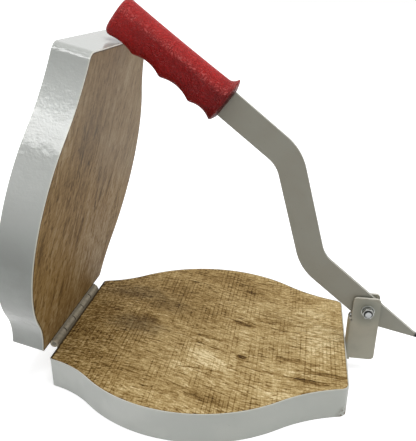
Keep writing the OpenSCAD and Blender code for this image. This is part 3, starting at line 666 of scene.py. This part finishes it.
# The bracket wears the lever's enamel; its copy gets a paler grey as painted light, since its sides stand
# in more shade
bracket_enamel_painted_light = grey_enamel("sprayed_grey_enamel_bracket_lightened", "#b3ae9b", 0.6)
lever_enamel = grey_enamel("sprayed_grey_enamel_lever", "#989688", 0.2, (
    (208.3, 0, 43.4, 5.5), (199.0, -2.4, 53.5, 0.9), (202.0, -2.4, 51.3, 0.8)))
softened("folded_bracket", "pivot_bracket", 0.5 * MM, bracket_enamel_painted_light, "base")
softened("bent_lever_bar", "lever_bar", 0.5 * MM, lever_enamel, "lever")


# ---------- pivot hardware ----------
# An M6 hexagon bolt, its nut and flat washers, bright zinc plated. The bolt turns with the lever.
bright_zinc = zinc("bright_zinc_plated_bolt", "#a6a8a8", 0.30, 0.40)
crevice_shaded_zinc = zinc("zinc_plated_nut_painted_crevice_shade", "#adaeaa", 0.30, 0.40, crevice_shade=((3.0, 4.4),))
washer_zinc = zinc("zinc_plated_washer_painted_crevice_shade", "#b6b8b2", 0.32, 0.35, crevice_shade=((4.6, 5.6),))
softened("pivot_bolt_hex", "pivot_bolt", 0.4 * MM, bright_zinc, "bolt")
softened("pivot_nut_hex", "pivot_nut", 0.5 * MM, crevice_shaded_zinc, "bolt")
softened("washer_under_nut", "nut_washer", 0.2 * MM, washer_zinc, "bolt")
softened("washer_under_head", "head_washer", 0.2 * MM, washer_zinc, "bolt")
dress("spacer_washers", washer_zinc)


# ---------- grip ----------
# A soft red vinyl grip, dip moulded with a pebbled skin, four finger grooves below and a flared
# guard. It is pushed over the bar's end and holds by its own stretch.
# Places along the lever's upper arm are counted in mm from its bend; the fingers are (width, depth)
ARM_ANGLE = math.radians(141.9)
ALONG_ARM = Vector((math.cos(ARM_ANGLE), 0, math.sin(ARM_ANGLE)))
OVER_ARM = Vector((math.sin(ARM_ANGLE), 0, -math.cos(ARM_ANGLE)))
UPPER_BEND = Vector((71.65, 0, 215.47))
GRIP_END, GRIP_LENGTH, BAR_END = 192.64, 119.4, 187.64
END_LOBE, END_RADIUS = 5.4, 5.0
GUARD_RIM, GUARD_FLARE, GUARD_HEIGHT, GUARD_WIDTH = 4.0, 8.0, 5.6, 3.0
FINGERS = ((25.0, 2.2), (29.5, 3.8), (32.0, 4.3), (23.5, 3.3))
BAR_HALF_WIDTH, BAR_HALF_THICKNESS, PLAY = 12.7, 2.4, 0.1
UPPER_SKIN, UPPER_SWELL, LOWER_SKIN, HALF_THICKNESS = 1.9, 2.9, 7.6, 12.5
LIP_SKIN, LIP_SIDE = 1.5, 3.0
GUARD_CURVE, LIP_CURVE = 2.6, 1.7
SQUARENESS, UPPER_SQUARENESS, MOUTH_SQUARENESS = 3.0, 2.3, 24
RING = 72


def groove(s):
    """Depth of the finger grooves at a distance from the free end, in mm."""
    start = END_LOBE
    for width, depth in FINGERS:
        if start <= s <= start + width:
            return depth * (1 - (2 * (s - start) / width - 1) ** 2)
        start += width
    return 0.0


def soft_groove(s):
    """The same with its lobes rounded, as a dipped skin leaves them."""
    near = [groove(s + 0.5 * k) for k in range(-4, 5)]
    return sum(near) / len(near)


def reaches(s):
    """How far the section reaches up, down and sideways from the bar's middle line, in mm."""
    from_face = GRIP_LENGTH - s
    drawn = END_RADIUS - math.sqrt(END_RADIUS ** 2 - (END_RADIUS - s) ** 2) if s < END_RADIUS else 0
    flare = min(1, max(0, 1 - (from_face - GUARD_RIM) / GUARD_FLARE)) ** GUARD_CURVE
    upper = BAR_HALF_WIDTH + UPPER_SKIN + UPPER_SWELL * (s / GRIP_LENGTH) ** 2
    upper += GUARD_HEIGHT * flare - drawn
    lower = BAR_HALF_WIDTH + LOWER_SKIN - soft_groove(s) - drawn
    side = HALF_THICKNESS + GUARD_WIDTH * flare - drawn
    face = max(0, 1 - from_face / GUARD_RIM) ** LIP_CURVE
    return [a + (b - a) * face for a, b in (
        (upper, BAR_HALF_WIDTH + LIP_SKIN), (lower, BAR_HALF_WIDTH + LIP_SKIN),
        (side, BAR_HALF_THICKNESS + LIP_SIDE))]


def set_ring(ring, x, upper, lower, side, squareness):
    """Moves a ring of vertices to a section of the grip, x mm along the arm from its bend. The upper
    half falls away sooner than the lower one."""
    for k, vertex in enumerate(ring):
        turn = 2 * math.pi * k / len(ring)
        on_upper_skin = 0 < k < len(ring) / 2 and squareness == SQUARENESS
        power = 2 / (UPPER_SQUARENESS if on_upper_skin else squareness)
        c, s = (math.copysign(abs(f(turn)) ** power, f(turn)) for f in (math.cos, math.sin))
        height = (upper - lower) / 2 + (upper + lower) / 2 * s
        vertex.co = (UPPER_BEND + ALONG_ARM * x + OVER_ARM * height + Vector((0, side * c, 0))) * MM


# The sections lie close together over the rounded end, the guard's flare and its face
stations = [0, 0.1, 0.35, 0.75, 1.3, 2.0, 2.9, 3.9, 5.0]
stations += [5.0 + 1.2 * k for k in range(1, 92)]
stations += [GRIP_LENGTH - GUARD_RIM - d for d in (3.5, 2.6, 1.8, 1.1, 0.5, 0.15)]
stations += [GRIP_LENGTH - d for d in (GUARD_RIM, 3.5, 3.0, 2.5, 2.0, 1.5, 1.0, 0.5, 0)]
shape = bmesh.new()
ring = bmesh.ops.create_circle(shape, cap_ends=True, radius=1, segments=RING)["verts"]
sections = [(GRIP_END - s, *reaches(s), SQUARENESS) for s in sorted(set(stations))]
mouth = (BAR_HALF_WIDTH + PLAY, BAR_HALF_WIDTH + PLAY, BAR_HALF_THICKNESS + PLAY, MOUTH_SQUARENESS)
sections += [(GRIP_END - GRIP_LENGTH + d, *mouth) for d in (0.0, 3.0)]
sections += [(BAR_END + PLAY, *mouth)]
set_ring(ring, *sections[0])
edges = shape.edges[:]
for section in sections[1:]:
    made = bmesh.ops.extrude_edge_only(shape, edges=edges)["geom"]
    edges = [g for g in made if isinstance(g, bmesh.types.BMEdge) and g.is_boundary]
    ring = [next(e.other_vert(v) for e in v.link_edges if e.other_vert(v) in made) for v in ring]
    set_ring(ring, *section)
bmesh.ops.contextual_create(shape, geom=edges)
bmesh.ops.poke(shape, faces=[f for f in shape.faces if len(f.verts) > 4])
bmesh.ops.recalc_face_normals(shape, faces=shape.faces)
for face in shape.faces:
    face.smooth = True

vinyl, tree = new_material("pebbled_red_vinyl_dip")
where = add(tree, "TexCoord")
cloud = add(tree, "TexNoise", {
    "Vector": where.outputs["Object"], "Scale": 1 / (18 * MM), "Detail": 3, "Roughness": 0.55})
# Painted light: the upper side, which faces the light, and the free end are given a brighter red
over = add(tree, "VectorMath", {0: where.outputs["Normal"], 1: OVER_ARM}, operation="DOT_PRODUCT")
over = over.outputs["Value"]
arm = add(tree, "VectorMath", {0: where.outputs["Object"], 1: ALONG_ARM}, operation="DOT_PRODUCT")
arm = arm.outputs["Value"]
mouth_at = UPPER_BEND.dot(ALONG_ARM) + GRIP_END - GRIP_LENGTH
painted_top_light = add(tree, "Math", {
    0: soft_step(tree, over, 0.10, 0.42),
    1: soft_step(tree, arm, (mouth_at + 60) * MM, (mouth_at + 118) * MM, 0, 0.6)}, operation="MAXIMUM")
# Painted shade near the guard, and deeper in the corner between the guard and the bar
painted_guard_shade = add(tree, "Math", {
    0: soft_step(tree, arm, (mouth_at + 22) * MM, (mouth_at + 4) * MM, 0, 0.36),
    1: soft_step(tree, arm, (mouth_at + 4.0) * MM, (mouth_at + 1.2) * MM, 0, 0.9)}, operation="MAXIMUM")
# A skin of short wrinkles about 2 mm apart, over low pebbles
pebbles = add(tree, "TexVoronoi", {
    "Vector": where.outputs["Object"], "Scale": 1 / (3.4 * MM), "Smoothness": 0.8}, feature="SMOOTH_F1")
wrinkles = add(tree, "TexNoise", {
    "Vector": where.outputs["Object"], "Scale": 1 / (4.2 * MM), "Detail": 2, "Roughness": 0.55,
    "Distortion": 1.6})
folds = add(tree, "Math", {0: wrinkles, 1: 0.5}, operation="SUBTRACT")
folds = add(tree, "Math", {0: folds}, operation="ABSOLUTE")
# A painted highlight along the ridge between the side and the upper side, on the crests of the wrinkles
ridge = add(tree, "Math", {
    0: soft_step(tree, over, 0.10, 0.24), 1: soft_step(tree, over, 0.62, 0.34)}, operation="MULTIPLY")
painted_highlight = add(tree, "Math", {0: ridge, 1: soft_step(tree, folds, 0.05, 0.13, 0.05, 0.60)},
             operation="MULTIPLY")
# The troughs of the wrinkles are darkened with painted shade
colour = layered(tree, linear("#9e100f"), (
    (soft_step(tree, cloud, 0.35, 0.65), "#8d1010"), (painted_top_light, "#bf221f"), (painted_guard_shade, "#3a0a0c"),
    (painted_highlight, "#d5625d"), (soft_step(tree, folds, 0.05, 0.0, 0, 0.45), "#4c0a0c")))
relief = add(tree, "Math", {0: folds, 1: 3.0}, operation="MULTIPLY")
relief = add(tree, "Math", {0: pebbles.outputs["Distance"], 1: -0.25, 2: relief}, operation="MULTIPLY_ADD")
bump = add(tree, "Bump", {"Height": relief, "Distance": 0.9 * MM, "Strength": 1.0})
skin = add(tree, "BsdfPrincipled", {
    "Base Color": colour, "Roughness": soft_step(tree, folds, 0.0, 0.2, 0.46, 0.34), "Normal": bump,
    "IOR": 1.52, "Specular IOR Level": 0.2})
add(tree, "OutputMaterial", {"Surface": skin})
grip = put_in_scene("finger_grip", bpy.data.meshes.new("finger_grip"), shape, vinyl)
grip.data.set_sharp_from_angle(angle=math.radians(50))
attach(grip, "lever")
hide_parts("lever_grip")
